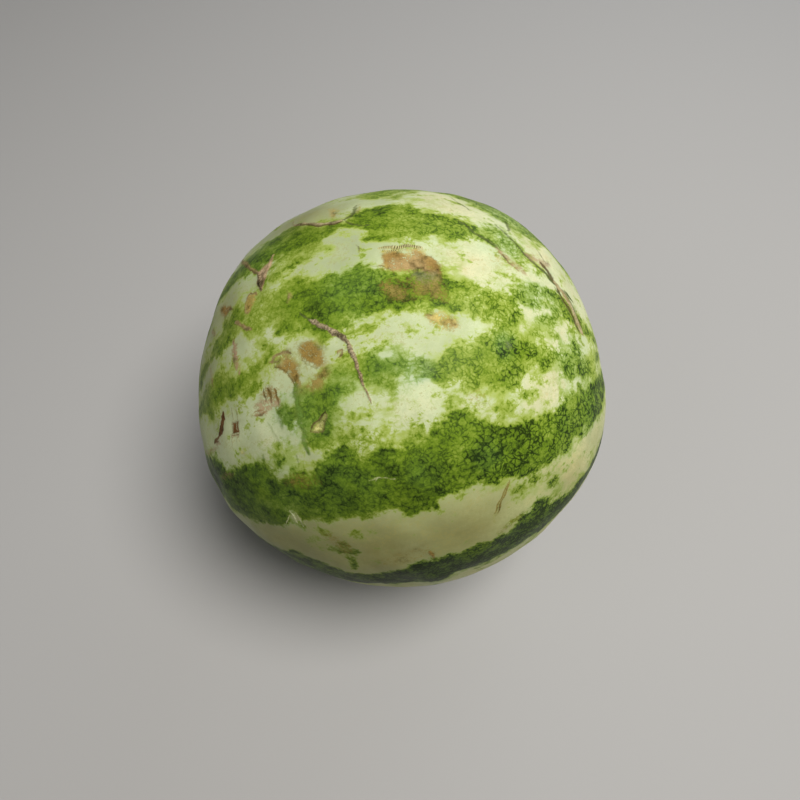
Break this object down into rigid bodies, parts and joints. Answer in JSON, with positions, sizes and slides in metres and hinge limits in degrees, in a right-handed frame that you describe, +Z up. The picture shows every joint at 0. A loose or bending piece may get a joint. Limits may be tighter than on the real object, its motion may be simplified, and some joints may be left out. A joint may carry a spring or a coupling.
{
  "type": "watermelon",
  "caption": "Whole round watermelon lying on its side, with green stripes on pale skin, corky scars, and a dimpled stem end and blossom end.",
  "frame": {"origin": "bottom centre of the fruit's box, at the height of the flat spot that it rests on", "axes": "+Z up from the surface it rests on; +X along the fruit's own axis, seen from above, towards the stem end, which is lifted 9 degrees; +Y to the far side"},
  "size_m": [0.2054, 0.2042, 0.1974],
  "materials": {
    "rind": "satin natural skin, a little waxy, with dry matt scars"
  },
  "bodies": {
    "root": {"watermelon": "rind"}
  },
  "joints": []
}
